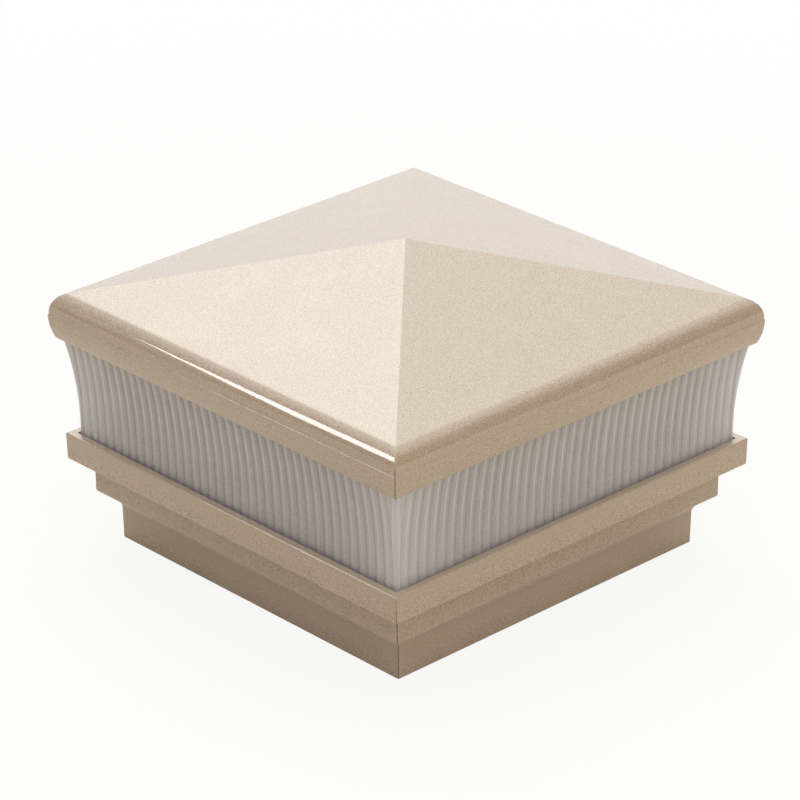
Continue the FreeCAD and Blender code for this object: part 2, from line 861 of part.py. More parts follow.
parts = {
    "base_frame": base_frame(),
    "lens_gasket": lens_gasket(),
    "leg_bushes": leg_bushes(),
    "cable_grommet": cable_grommet(),
    "heat_spreader": drilled_plate(spreader_half, spreader_z, spreader_thickness),
    "thermal_pad": block(pad_half, pad_z, board_z),
    "led_board": drilled_plate(board_half, board_z, board_thickness),
    "board_screws": board_screws(),
    "led_chips": led_chips(),
    "bridge_rectifier": box_at(0, 0, board_top_z, rectifier_size),
    "driver_chip": box_at(0, -led_pitch, board_top_z, driver_size),
    "choke": choke(),
    "capacitors": capacitors(),
    "board_connector": board_connector(),
    "terminal_block": terminal_block(),
    "terminal_cages": terminal_cages(),
    "terminal_screws": terminal_screws(),
    "lead_red": lead(0),
    "lead_black": lead(1),
    "lens_ring": lens_ring(),
    "roof_cap": roof_cap(),
    "roof_gasket": roof_gasket(),
    "reflector": reflector(),
    "reflector_screws": reflector_screws(),
}

os.makedirs("parts", exist_ok=True)
for name, shape in parts.items():
    if isinstance(shape, list):
        shape = Part.makeCompound(shape)
    shape.exportStep("parts/" + name + ".step")
    print(name, len(shape.Solids), "solids", round(shape.Volume), "mm3", shape.isValid())
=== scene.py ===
import math

import bmesh
import bpy
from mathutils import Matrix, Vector


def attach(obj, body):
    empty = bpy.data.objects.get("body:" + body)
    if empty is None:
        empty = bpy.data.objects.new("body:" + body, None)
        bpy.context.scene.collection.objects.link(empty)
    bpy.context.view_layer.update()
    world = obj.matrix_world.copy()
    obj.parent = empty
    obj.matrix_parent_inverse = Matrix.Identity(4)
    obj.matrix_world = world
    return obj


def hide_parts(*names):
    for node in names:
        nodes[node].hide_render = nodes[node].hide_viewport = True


# Deck post cap light. Shapes are drawn in millimetres, +Z up, from the skirt's lower rim, and every
# mesh is brought to metres when it is made. The sections follow the light as it is put together.

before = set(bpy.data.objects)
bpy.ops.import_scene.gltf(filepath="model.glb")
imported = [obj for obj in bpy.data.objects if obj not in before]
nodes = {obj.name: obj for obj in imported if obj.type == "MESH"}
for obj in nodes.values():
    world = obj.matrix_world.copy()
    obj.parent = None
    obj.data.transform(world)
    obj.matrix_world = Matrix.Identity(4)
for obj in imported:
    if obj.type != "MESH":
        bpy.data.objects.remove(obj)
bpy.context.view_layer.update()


# ---- base moulding -----------------------------------------------------------------------------
# One die-cast aluminium frame: a skirt that slips over the post, a cove, a plain step and the tray
# that the lens stands in. It is powder coated all over in a satin beige with a fine grain.

mm = 0.001
edge_radius = 0.25
edge_share = 0.45
edge_steps = 3
corner_radius = 0.35
corner_steps = 6
seam_depth = 0.32
smooth_below_degrees = 32
overrun = 1.0
root = 1.0

socket_half = 57.7
post_depth = 23.4
deck_top_z = 26.4
skirt_half = 60.75
skirt_draft = 0.15
skirt_height = 9.1
cove_radius = 6.5
cove_top_z = 15.33
step_half = 66.4
nose_radius = 1.0
flange_half = 72.3
flange_draft = 0.15
flange_edge = 0.5
flange_bottom_z = 26.39
flange_top_z = 35.09
tray_half = 69.7
ledge_half = 63.6
ledge_z = 29.19
moat_wall_half = 60.5
moat_floor_z = 18.13
seam_from_half = 60.0
seam_top_z = flange_top_z - 1
ribs_per_side = 3
rib_width = 2.0
moat_rib_drop = 0.05
guide_depth = 0.35
guide_low_z = 2.0
leg_half = 49.7
socket_boss_half = 6.55
socket_room_half = 4.95
socket_floor_z = 27.4
socket_top_z = 38.0
board_screw_half = 19.6
board_screw_pilot = 1.5
spreader_boss_half = 4.0
spreader_z = 32.0
deck_screw_half = 38.0
deck_screw_radius = 2.3
inlet_x = -46.5
inlet_y = 14.0
neck_radius = 6.05
recess_radius = 8.15
recess_top_z = 24.75
block_x = -47.5
block_y = -10.0
hook_length = 9.0
hook_inner = 9.3
hook_wall = 1.6
hook_grip = 0.9
hook_under_z = 28.5
hook_tip_z = 28.95
hook_top_z = 30.3

noise_detail = 3.0
noise_low = 0.3
noise_high = 0.7
cloud_mm = 14
cloud_low = 0.9
cloud_high = 1.12
paint_colour = (0.50, 0.375, 0.265)
paint_grain_mm = 0.3


def arc(centre_half, centre_z, radius, start, end, steps=12):
    """Points of a round stretch of a section, between two angles in degrees from +X towards +Z."""
    points = []
    for step in range(steps + 1):
        angle = math.radians(start + (end - start) * step / steps)
        points.append((centre_half + radius * math.cos(angle), centre_z + radius * math.sin(angle)))
    return points


def eased(points, radius=edge_radius):
    """The same section with each of its sharp corners rounded. Both ends stay as they are."""
    made = [points[0]]
    for before, here, after in zip(points, points[1:], points[2:]):
        back = Vector(before) - Vector(here)
        ahead = Vector(after) - Vector(here)
        if math.degrees(math.pi - back.angle(ahead)) < smooth_below_degrees:
            made.append(here)
            continue
        trim = min(radius, edge_share * back.length, edge_share * ahead.length)
        start = Vector(here) + back.normalized() * trim
        end = Vector(here) + ahead.normalized() * trim
        for step in range(edge_steps + 1):
            share = step / edge_steps
            turned = start.lerp(Vector(here), share).lerp(Vector(here).lerp(end, share), share)
            made.append((turned.x, turned.y))
    return made + [points[-1]]


def square_ring(mesh, half, z, radius, seam=0.0):
    """Vertices round a square at height z, its corners rounded, or a single one on the axis. A seam
    is a fine groove of this depth up the middle of each corner."""
    if half <= 0:
        return [mesh.verts.new((0, 0, z))]
    radius = min(radius, half)
    ring = []
    for quarter, (side_x, side_y) in enumerate(((1, 1), (-1, 1), (-1, -1), (1, -1))):
        for step in range(corner_steps + 1):
            angle = math.radians(90) * (quarter + step / corner_steps)
            x = side_x * (half - radius) + radius * math.cos(angle)
            y = side_y * (half - radius) + radius * math.sin(angle)
            if step == corner_steps // 2:
                x -= side_x * seam
                y -= side_y * seam
            ring.append(mesh.verts.new((x, y, z)))
    return ring


def skin(mesh, rings, closed=False):
    """Faces between rings of vertices. The first and last are capped, or joined to each other."""
    pairs = list(zip(rings, rings[1:]))
    if closed:
        pairs.append((rings[-1], rings[0]))
    for lower, upper in pairs:
        for index in range(max(len(lower), len(upper))):
            corners = [
                lower[(index - 1) % len(lower)],
                lower[index % len(lower)],
                upper[index % len(upper)],
                upper[(index - 1) % len(upper)],
            ]
            mesh.faces.new(list(dict.fromkeys(corners)))
    if not closed:
        for ring in (rings[0], rings[-1]):
            if len(ring) > 1:
                mesh.faces.new(ring)


def square_sweep(section, seam_half, seam_top_z):
    """Mesh of square plan from a section, a list of half width, z, with rounded mitred corners. The
    corners have a fine seam outside seam_half and below seam_top_z."""
    mesh = bmesh.new()
    rings = []
    for half, z in section:
        seam = seam_depth if half > seam_half and z < seam_top_z else 0.0
        rings.append(square_ring(mesh, half, z, corner_radius, seam))
    skin(mesh, rings)
    return mesh


def add_block(mesh, centre, size):
    """Box in mesh, about the centre of its base."""
    corners = []
    for z in (centre[2], centre[2] + size[2]):
        for x, y in ((-1, -1), (1, -1), (1, 1), (-1, 1)):
            place = (centre[0] + x * size[0] / 2, centre[1] + y * size[1] / 2, z)
            corners.append(mesh.verts.new(place))
    low, high = corners[:4], corners[4:]
    skin(mesh, [low, high])


def add_turned(mesh, section, x, y, around=48, closed=False):
    """Turned body in mesh about an upright axis, from a section of radius, z. A closed section makes
    a tube."""
    rings = []
    for radius, z in section:
        if radius <= 0:
            rings.append([mesh.verts.new((x, y, z))])
            continue
        ring = []
        for step in range(around):
            angle = 2 * math.pi * step / around
            place = (x + radius * math.cos(angle), y + radius * math.sin(angle), z)
            ring.append(mesh.verts.new(place))
        rings.append(ring)
    skin(mesh, rings, closed)


def four_corners(half):
    return [(-half, -half), (half, -half), (half, half), (-half, half)]


def spread(count, span):
    """Evenly spaced places, count of them, with the same space at both ends of span."""
    return [(index + 0.5) * span / count - span / 2 for index in range(count)]


def to_object(name, mesh):
    """Scene object from a mesh drawn in millimetres."""
    bmesh.ops.recalc_face_normals(mesh, faces=mesh.faces)
    bmesh.ops.scale(mesh, vec=(mm, mm, mm), verts=mesh.verts)
    data = bpy.data.meshes.new(name)
    mesh.to_mesh(data)
    mesh.free()
    made = bpy.data.objects.new(name, data)
    bpy.context.scene.collection.objects.link(made)
    return made


def with_modifiers(obj):
    """Turns what an object's modifiers make into its own mesh."""
    shown = obj.evaluated_get(bpy.context.evaluated_depsgraph_get())
    data = bpy.data.meshes.new_from_object(shown)
    obj.modifiers.clear()
    obj.data = data


def combine(obj, mesh, operation):
    """Joins the bodies in mesh to an object, or cuts them out of it."""
    tool = to_object(obj.name + "_tool", mesh)
    modifier = obj.modifiers.new("combine", "BOOLEAN")
    modifier.operation = operation
    modifier.solver = "EXACT"
    modifier.use_self = True
    modifier.object = tool
    with_modifiers(obj)
    bpy.data.objects.remove(tool)


def finished(obj, body, slot, material, *stands_for, smooth_below=smooth_below_degrees):
    """Gives a piece its finish, its body and the frame nodes that it stands for. Its round stretches
    are shaded smooth, and its flat faces are left flat."""
    obj.data.shade_smooth()
    obj.data.set_sharp_from_angle(angle=math.radians(smooth_below))
    even = obj.modifiers.new("even", "WEIGHTED_NORMAL")
    even.keep_sharp = True
    obj.data.materials.clear()
    obj.data.materials.append(material)
    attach(obj, body)
    if stands_for:
        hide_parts(*stands_for)


def new_material(name, roughness, metallic=0.0):
    """Material and its shader, with a plain reflection of this roughness."""
    made = bpy.data.materials.new(name)
    made.use_nodes = True
    shader = made.node_tree.nodes["Principled BSDF"]
    shader.inputs["Roughness"].default_value = roughness
    shader.inputs["Metallic"].default_value = metallic
    return made, shader


def shader_node(tree, kind, inputs, **settings):
    """Shader node of this kind. Each of its inputs is set to a value, or linked to a socket."""
    made = tree.nodes.new("ShaderNode" + kind)
    for name, value in settings.items():
        setattr(made, name, value)
    for name, value in inputs.items():
        if isinstance(value, bpy.types.NodeSocket):
            tree.links.new(value, made.inputs[name])
        else:
            made.inputs[name].default_value = value
    return made


def on_piece(tree):
    """Place on the piece, in metres, which stays on it as it moves."""
    return shader_node(tree, "TexCoord", {}).outputs["Object"]


def noise(material, size_mm, stretch=(1, 1, 1)):
    """Noise whose features are about size_mm across, fixed to the piece."""
    tree = material.node_tree
    scaled = shader_node(tree, "Mapping", {"Vector": on_piece(tree), "Scale": stretch})
    inputs = {
        "Vector": scaled.outputs["Vector"],
        "Scale": 1 / (size_mm * mm),
        "Detail": noise_detail,
    }
    return shader_node(tree, "TexNoise", inputs).outputs["Fac"]


def spread_out(material, source, low, high, to_low=0.0, to_high=1.0):
    """Stretches the part of a value between low and high over a new range."""
    inputs = {"Value": source, "From Min": low, "From Max": high, "To Min": to_low, "To Max": to_high}
    return shader_node(material.node_tree, "MapRange", inputs).outputs["Result"]


def blended(material, factor, first, second):
    """Colour between two, each a colour or a socket that gives one."""
    tree = material.node_tree
    made = shader_node(tree, "Mix", {"Factor": factor}, data_type="RGBA")
    for name, colour in (("A", first), ("B", second)):
        socket = [one for one in made.inputs if one.name == name and one.type == "RGBA"][0]
        if isinstance(colour, bpy.types.NodeSocket):
            tree.links.new(colour, socket)
        else:
            socket.default_value = (*colour, 1)
    return [one for one in made.outputs if one.type == "RGBA"][0]


def shade(colour, share):
    return tuple(min(1.0, channel * share) for channel in colour)


def rough_skin(material, shader, height, depth_mm):
    """Fine relief in the surface from a value."""
    tree = material.node_tree
    bump = shader_node(tree, "Bump", {"Height": height, "Distance": depth_mm * mm, "Strength": 1.0})
    tree.links.new(bump.outputs["Normal"], shader.inputs["Normal"])


def mottled(name, colour, roughness, grain_mm, amount, depth_mm, metallic=0.0, stretch=(1, 1, 1)):
    """Material of one colour with a fine unevenness in its tone, sheen and height."""
    made, shader = new_material(name, roughness, metallic)
    fine = noise(made, grain_mm, stretch=stretch)
    tone = spread_out(made, fine, noise_low, noise_high)
    mixed = blended(made, tone, shade(colour, 1 - amount), shade(colour, 1 + amount))
    made.node_tree.links.new(mixed, shader.inputs["Base Color"])
    cloud = noise(made, cloud_mm)
    smooth = roughness * cloud_low
    dull = min(1, roughness * cloud_high)
    sheen = spread_out(made, cloud, noise_low, noise_high, smooth, dull)
    made.node_tree.links.new(sheen, shader.inputs["Roughness"])
    rough_skin(made, shader, fine, depth_mm)
    return made


def powder_coat():
    """Satin beige powder coat: the grain of the powder under a clear, smoother skin."""
    made = mottled(
        "powder_coat", paint_colour, roughness=0.42, grain_mm=paint_grain_mm, amount=0.42, depth_mm=0.009
    )
    shader = made.node_tree.nodes["Principled BSDF"]
    shader.inputs["Specular IOR Level"].default_value = 0.5
    shader.inputs["Coat Weight"].default_value = 1.0
    shader.inputs["Coat Roughness"].default_value = 0.035
    shader.inputs["Coat IOR"].default_value = 1.5
    return made


def moulding_section():
    """Section of the base, from under its deck round the outside to the top of its deck."""
    low_edge_half = flange_half - flange_draft
    cove_centre = skirt_half + cove_radius
    cove_end_half = step_half - nose_radius
    cove_end = math.degrees(math.atan2(cove_top_z - skirt_height, cove_end_half - cove_centre))
    nose_z = cove_top_z + nose_radius
    return eased([
        (socket_half, post_depth),
        (socket_half, 0),
        (skirt_half, 0),
        (skirt_half + skirt_draft, skirt_height),
        *arc(cove_centre, skirt_height, cove_radius, 180, cove_end)[2:],
        *arc(cove_end_half, nose_z, nose_radius, -90, 0, steps=6),
        (step_half, flange_bottom_z),
        *arc(low_edge_half - flange_edge, flange_bottom_z + flange_edge, flange_edge, -90, 0, steps=6),
        *arc(flange_half - flange_edge, flange_top_z - flange_edge, flange_edge, 0, 90, steps=6),
        (tray_half, flange_top_z),
        (tray_half, ledge_z),
        (ledge_half, ledge_z),
        (ledge_half, moat_floor_z),
        (moat_wall_half, moat_floor_z),
        (moat_wall_half, deck_top_z),
    ])


def add_ribs(mesh, middle_half, low_z, depth, height, span):
    """Ribs across each side of a square in mesh, middle_half from its centre and spread over span."""
    for along in spread(ribs_per_side, span):
        for side in (-1, 1):
            add_block(mesh, (side * middle_half, along, low_z), (depth, rib_width, height))
            add_block(mesh, (along, side * middle_half, low_z), (rib_width, depth, height))


def inner_features():
    """Sockets and bosses on the deck, ribs in the moat round it, and ribs in the skirt that guide the
    post. Each has a root in the metal that it stands on."""
    made = bmesh.new()
    for place_half, half, top_z in (
        (leg_half, socket_boss_half, socket_top_z),
        (board_screw_half, spreader_boss_half, spreader_z),
    ):
        for x, y in four_corners(place_half):
            size = (2 * half, 2 * half, top_z - deck_top_z + root)
            add_block(made, (x, y, deck_top_z - root), size)
    moat_middle = (moat_wall_half + ledge_half) / 2
    moat_width = ledge_half - moat_wall_half + root
    moat_height = deck_top_z - moat_floor_z + root - moat_rib_drop
    add_ribs(made, moat_middle, moat_floor_z - root, moat_width, moat_height, 2 * leg_half)
    guide_middle = socket_half + (root - guide_depth) / 2
    guide_height = post_depth + root - guide_low_z
    add_ribs(made, guide_middle, guide_low_z, guide_depth + root, guide_height, 2 * socket_half)
    return made


def inner_cuts():
    """Holes in the deck: leg sockets, screw holes, and the grommet's neck and recess."""
    made = bmesh.new()
    room = 2 * socket_room_half
    low_z = post_depth - overrun
    high_z = deck_top_z + overrun
    for x, y in four_corners(leg_half):
        depth = socket_top_z + overrun - socket_floor_z
        add_block(made, (x, y, socket_floor_z), (room, room, depth))
    for x, y in four_corners(deck_screw_half):
        add_turned(made, [(deck_screw_radius, low_z), (deck_screw_radius, high_z)], x, y)
    for x, y in four_corners(board_screw_half)[1::2]:
        pilot = [(board_screw_pilot, deck_top_z), (board_screw_pilot, spreader_z + overrun)]
        add_turned(made, pilot, x, y, around=24)
    recess = [(recess_radius, low_z), (recess_radius, recess_top_z)]
    neck = [(neck_radius, recess_top_z), (neck_radius, high_z)]
    add_turned(made, recess + neck, inlet_x, inlet_y)
    return made


def hooks():
    """Two hooked walls on the deck that hold the terminal block by its feet."""
    made = bmesh.new()
    low_z = deck_top_z - root
    profile = [
        (hook_inner, low_z),
        (hook_inner, hook_under_z),
        (hook_inner - hook_grip, hook_under_z),
        (hook_inner - hook_grip, hook_tip_z),
        (hook_inner, hook_top_z),
        (hook_inner + hook_wall, hook_top_z),
        (hook_inner + hook_wall, low_z),
    ]
    for side in (-1, 1):
        ends = []
        for x in (block_x - hook_length / 2, block_x + hook_length / 2):
            ends.append([made.verts.new((x, block_y + side * y, z)) for y, z in profile])
        skin(made, ends)
    return made


paint = powder_coat()
base = to_object("base_moulding", square_sweep(moulding_section(), seam_from_half, seam_top_z))
combine(base, inner_features(), "UNION")
combine(base, hooks(), "UNION")
combine(base, inner_cuts(), "DIFFERENCE")
finished(base, "base", "painted_body", paint, "base_frame")


# ---- rubber pieces -----------------------------------------------------------------------------
# Moulded black rubber: the gasket under the lens, a square bush in each leg socket, and the grommet
# in the deck that the supply cord comes through. The gasket lies on the ledge, the rest press in.

grommet_bore = 3.0
grommet_neck = 6.0
grommet_flange = 8.0
grommet_low_z = 23.55
grommet_top_z = 27.6
bush_half = 4.9
bush_hole_half = 3.1
bush_corner = 0.4
collar_half = 6.2
collar_top_z = 39.2
weld_mm = 0.002
bevel_above_degrees = 40


def add_square(mesh, section, x, y, corner, closed=False):
    """Body of square plan in mesh about an upright axis, from a section of half width, z. A closed
    section makes a tube."""
    start = len(mesh.verts)
    skin(mesh, [square_ring(mesh, half, z, corner) for half, z in section], closed)
    mesh.verts.ensure_lookup_table()
    bmesh.ops.translate(mesh, vec=(x, y, 0), verts=mesh.verts[start:])


def looped(section):
    """Closed section with its corners eased. It starts in the middle of its first side."""
    first, second = section[0], section[1]
    middle = ((first[0] + second[0]) / 2, (first[1] + second[1]) / 2)
    return eased([middle, *section[1:], first, middle])[:-1]


def grommet():
    """Grommet with a flange on each side of the deck, and rounded lips."""
    section = looped([
        (grommet_bore, grommet_low_z),
        (grommet_flange, grommet_low_z),
        (grommet_flange, recess_top_z),
        (grommet_neck, recess_top_z),
        (grommet_neck, deck_top_z),
        (grommet_flange, deck_top_z),
        (grommet_flange, grommet_top_z),
        (grommet_bore, grommet_top_z),
    ])
    made = bmesh.new()
    add_turned(made, section, inlet_x, inlet_y, around=64, closed=True)
    return made


def bushes():
    """Four square bushes, each with a collar that lies on its socket's rim."""
    made = bmesh.new()
    section = looped([
        (bush_hole_half, socket_floor_z),
        (bush_half, socket_floor_z),
        (bush_half, socket_top_z),
        (collar_half, socket_top_z),
        (collar_half, collar_top_z),
        (bush_hole_half, collar_top_z),
    ])
    for x, y in four_corners(leg_half):
        add_square(made, section, x, y, bush_corner, closed=True)
    return made


def softened(node, material, bevel_mm):
    """Breaks the sharp edges of a frame node that keeps its shape and its body."""
    obj = nodes[node]
    weld = obj.modifiers.new("weld", "WELD")
    weld.merge_threshold = weld_mm * mm
    bevel = obj.modifiers.new("bevel", "BEVEL")
    bevel.width = bevel_mm * mm
    bevel.segments = 2
    bevel.limit_method = "ANGLE"
    bevel.angle_limit = math.radians(bevel_above_degrees)
    obj.data.materials.clear()
    obj.data.materials.append(material)


rubber = mottled(
    "black_rubber", (0.022, 0.022, 0.023), roughness=0.62, grain_mm=0.35, amount=0.25, depth_mm=0.01
)
softened("lens_gasket", rubber, bevel_mm=0.2)
softened("roof_gasket", rubber, bevel_mm=0.2)
finished(to_object("leg_bush_set", bushes()), "base", "black_rubber", rubber, "leg_bushes")
finished(to_object("cord_grommet", grommet()), "base", "black_rubber", rubber, "cable_grommet")


# ---- light engine ------------------------------------------------------------------------------
# An aluminium heat spreader on four bosses carries a silicone pad and the white LED board. Two pan
# head screws at opposite corners hold the stack down. The small parts are soldered to the board.

board_top_z = 36.5
led_pitch = 9.0
led_size = 3.0
led_height = 0.8
led_window = 2.2
led_window_slope = 0.15
led_edge = 0.12
led_corner = 0.25
gel_sink = 0.05
gel_outline = ((0.9, 0), (0.9, 0.2), (0.6, 0.32), (0, 0.37))
track_pitch_mm = 9
track_width = 0.03
chip_lift = 0.12
chip_leg_run = 0.75
chip_leg_width = 0.4
chip_leg_bars = ((0.525, 0.45, 0.55, 0.16), (0.315, 0.16, 0.04, 0.6), (0.225, 0.4125, 0, 0.14))
winding_outline = ((0.7, 38.92), (1.7, 38.92), (1.7, 39.2), (1.5, 39.35), (0.7, 39.35))
capacitor_size = (1.9, 2.4, 2.1)
capacitor_lift = 0.05
capacitor_end_size = (0.7, 2.5, 2.2)
capacitor_end_x = 1.25

board_screw_tip_z = deck_top_z + 0.3
screw_shank = 1.45
screw_head = 2.8
screw_head_height = 1.9
rim_share = 0.45
crown_flat = 0.55
crown_round = 0.42
crown_steps = 6
tip_share = 0.6
tip_bevel = 0.6
recess_depth_share = 0.55
recess_width_share = 0.27
cross_share = 0.55
slot_share = 0.9


def add_screw(mesh, x, y, seat_z, outward, tip_z, shank, head, height):
    """Pan head screw. Its head stands outward from seat_z, away from tip_z."""
    rim_z = seat_z + outward * height * rim_share
    crown_height = outward * height * (1 - rim_share)
    crown = []
    for step in range(crown_steps + 1):
        angle = math.radians(90) * step / crown_steps
        radius = head * (crown_flat + crown_round * math.cos(angle))
        crown.append((radius, rim_z + crown_height * math.sin(angle)))
    top = [(0, seat_z + outward * height)]
    tip = [(0, tip_z), (shank * tip_share, tip_z), (shank, tip_z + outward * tip_bevel)]
    section = tip + [(shank, seat_z), (head, seat_z), (head, rim_z)] + crown + top
    add_turned(mesh, section, x, y, around=32)


def recesses(places, top_z, outward, depth, width, reach, slotted):
    """Cross recesses or plain slots to cut into screw heads."""
    made = bmesh.new()
    low_z = top_z - depth if outward > 0 else top_z - overrun
    for x, y in places:
        add_block(made, (x, y, low_z), (2 * reach, width, depth + overrun))
        if not slotted:
            add_block(made, (x, y, low_z), (width, 2 * reach, depth + overrun))
    return made


def screws(name, places, seat_z, outward, tip_z, shank, head, height, slotted=False):
    """A set of like screws, with their recesses."""
    made = bmesh.new()
    for x, y in places:
        add_screw(made, x, y, seat_z, outward, tip_z, shank, head, height)
    obj = to_object(name, made)
    depth = height * recess_depth_share
    width = head * recess_width_share
    reach = head * (slot_share if slotted else cross_share)
    top_z = seat_z + outward * height
    combine(obj, recesses(places, top_z, outward, depth, width, reach, slotted), "DIFFERENCE")
    return obj


def board_mask():
    """White solder mask, with the copper under it standing out a little in tone and height."""
    made, shader = new_material("white_mask", roughness=0.32)
    tree = made.node_tree
    tracks = shader_node(tree, "TexBrick", {
        "Vector": on_piece(tree),
        "Scale": 1 / (track_pitch_mm * mm),
        "Mortar Size": track_width,
        "Brick Width": 1.0,
        "Row Height": 0.5,
    })
    copper = spread_out(made, tracks.outputs["Fac"], 0, 1)
    mask = blended(made, noise(made, size_mm=0.8), (0.80, 0.80, 0.78), (0.86, 0.86, 0.84))
    seen = blended(made, copper, mask, (0.66, 0.67, 0.62))
    tree.links.new(seen, shader.inputs["Base Color"])
    rough_skin(made, shader, copper, depth_mm=0.02)
    return made


def led_places():
    """X, Y of the LED packages, in even rows."""
    rows = spread(4, 4 * led_pitch)
    return [(x, y) for y in rows for x in rows]


def led_packages():
    """White packages with a sunk window and softly rounded edges."""
    made = bmesh.new()
    window_z = board_top_z + led_height / 2
    top_z = board_top_z + led_height
    section = eased([
        (led_size / 2, board_top_z),
        (led_size / 2, top_z),
        (led_window / 2, top_z),
        (led_window / 2 - led_window_slope, window_z),
    ], led_edge)
    for x, y in led_places():
        add_square(made, section, x, y, led_corner)
    return made


def phosphor_pads():
    """The yellow gel in each window, slightly crowned."""
    made = bmesh.new()
    low_z = board_top_z + led_height / 2 - gel_sink
    section = [(radius, low_z + rise) for radius, rise in gel_outline]
    for x, y in led_places():
        add_turned(made, section, x, y, around=24)
    return made


def chip_body(x, y, size):
    """Moulded body between the legs of a chip."""
    made = bmesh.new()
    body_size = (size[0] - 2 * chip_leg_run, size[1], size[2] - chip_lift)
    add_block(made, (x, y, board_top_z + chip_lift), body_size)
    return made


def chip_legs(mesh, x, y, size, count):
    """Bent legs on both sides of a chip, in mesh. Each has a shoulder, a shin and a foot, given by how
    far in from the chip's end, how long, how high up and how thick they are."""
    for along in spread(count, size[1]):
        for side in (-1, 1):
            for inset, length, low, thickness in chip_leg_bars:
                centre = (x + side * (size[0] / 2 - inset), y + along, board_top_z + low)
                add_block(mesh, centre, (length, chip_leg_width, thickness))


board_screw_set = screws(
    "board_screw_set", four_corners(board_screw_half)[1::2], board_top_z, 1, board_screw_tip_z,
    screw_shank, screw_head, screw_head_height,
)
zinc = mottled(
    "zinc_plate", (0.62, 0.63, 0.64), roughness=0.3, grain_mm=0.6, amount=0.08, depth_mm=0.004,
    metallic=1.0,
)
finished(board_screw_set, "base", "zinc_steel", zinc, "board_screws")
rolled_aluminium = mottled(
    "brushed_aluminium", (0.72, 0.73, 0.74), roughness=0.34, grain_mm=0.5, amount=0.07, depth_mm=0.004,
    metallic=1.0, stretch=(0.03, 1, 1),
)
softened("heat_spreader", rolled_aluminium, bevel_mm=0.25)
silicone = mottled(
    "thermal_silicone", (0.30, 0.36, 0.43), roughness=0.55, grain_mm=0.5, amount=0.1, depth_mm=0.01
)
softened("thermal_pad", silicone, bevel_mm=0.08)
softened("led_board", board_mask(), bevel_mm=0.12)

package_white = mottled(
    "package_white", (0.82, 0.82, 0.78), roughness=0.35, grain_mm=0.3, amount=0.04, depth_mm=0.003
)
packages = to_object("led_package_set", led_packages())
finished(packages, "base", "led_phosphor", package_white, "led_chips")
phosphor = mottled(
    "phosphor_gel", (0.83, 0.62, 0.10), roughness=0.28, grain_mm=0.25, amount=0.12, depth_mm=0.004
)
finished(to_object("led_phosphor_set", phosphor_pads()), "base", "led_phosphor", phosphor)

epoxy = mottled(
    "chip_epoxy", (0.022, 0.022, 0.024), roughness=0.48, grain_mm=0.3, amount=0.2, depth_mm=0.006
)
tin = mottled(
    "tinned_legs", (0.66, 0.67, 0.68), roughness=0.3, grain_mm=0.4, amount=0.06, depth_mm=0.003,
    metallic=1.0,
)
leg_set_mesh = bmesh.new()
for node, name, y, size, count in (
    ("bridge_rectifier", "rectifier_body", 0, (4.6, 4.0, 1.6), 2),
    ("driver_chip", "driver_body", -led_pitch, (4.9, 3.9, 1.5), 4),
):
    finished(to_object(name, chip_body(0, y, size)), "base", "chip_black", epoxy, node)
    chip_legs(leg_set_mesh, 0, y, size, count)
finished(to_object("chip_leg_set", leg_set_mesh), "base", "chip_black", tin)

ferrite = mottled(
    "ferrite", (0.045, 0.045, 0.05), roughness=0.5, grain_mm=0.35, amount=0.25, depth_mm=0.012
)
softened("choke", ferrite, bevel_mm=0.3)
copper = mottled(
    "copper_winding", (0.72, 0.30, 0.13), roughness=0.3, grain_mm=0.5, amount=0.1, depth_mm=0.004,
    metallic=1.0, stretch=(1, 1, 6),
)
winding_mesh = bmesh.new()
add_turned(winding_mesh, winding_outline, 0, led_pitch, around=32)
finished(to_object("choke_winding", winding_mesh), "base", "ferrite", copper)
ceramic = mottled(
    "capacitor_ceramic", (0.36, 0.22, 0.12), roughness=0.42, grain_mm=0.4, amount=0.1, depth_mm=0.004
)
body_mesh = bmesh.new()
end_mesh = bmesh.new()
for x in (-led_pitch, led_pitch):
    add_block(body_mesh, (x, 0, board_top_z + capacitor_lift), capacitor_size)
    for side in (-1, 1):
        add_block(end_mesh, (x + side * capacitor_end_x, 0, board_top_z), capacitor_end_size)
finished(to_object("capacitor_bodies", body_mesh), "base", "ceramic_tan", ceramic, "capacitors")
finished(to_object("capacitor_ends", end_mesh), "base", "ceramic_tan", tin)
nylon = mottled(
    "white_nylon", (0.76, 0.75, 0.69), roughness=0.45, grain_mm=0.5, amount=0.05, depth_mm=0.006
)
softened("board_connector", nylon, bevel_mm=0.2)


# ---- terminal block and leads ------------------------------------------------------------------
# A dark nylon block snapped under two hooks takes the supply cord. Each of its two brass cages has a
# screw at both ends. A red and a black vinyl lead run from it over the spreader to the LED board.

block_size_x = 17.0
way_half_pitch = 3.9
cage_z = 29.9
cage_size = 4.2
cage_inset = 2.0
connector_face_x = -22.5
pin_half_pitch = 1.5
connector_wire_z = 38.7
lead_radius = 0.6
lead_around = 20
lead_straight = 5.0
lead_bend_share = 0.45
lead_end_in_cage = 4.0
lead_short = 0.05
port_depth = 2.0
bend_steps = 14
terminal_shank = 1.0
terminal_head = 1.6
terminal_head_height = 1.4
terminal_seat_z = cage_z + cage_size / 2 + 0.1
terminal_tip_z = cage_z + lead_radius + 0.05


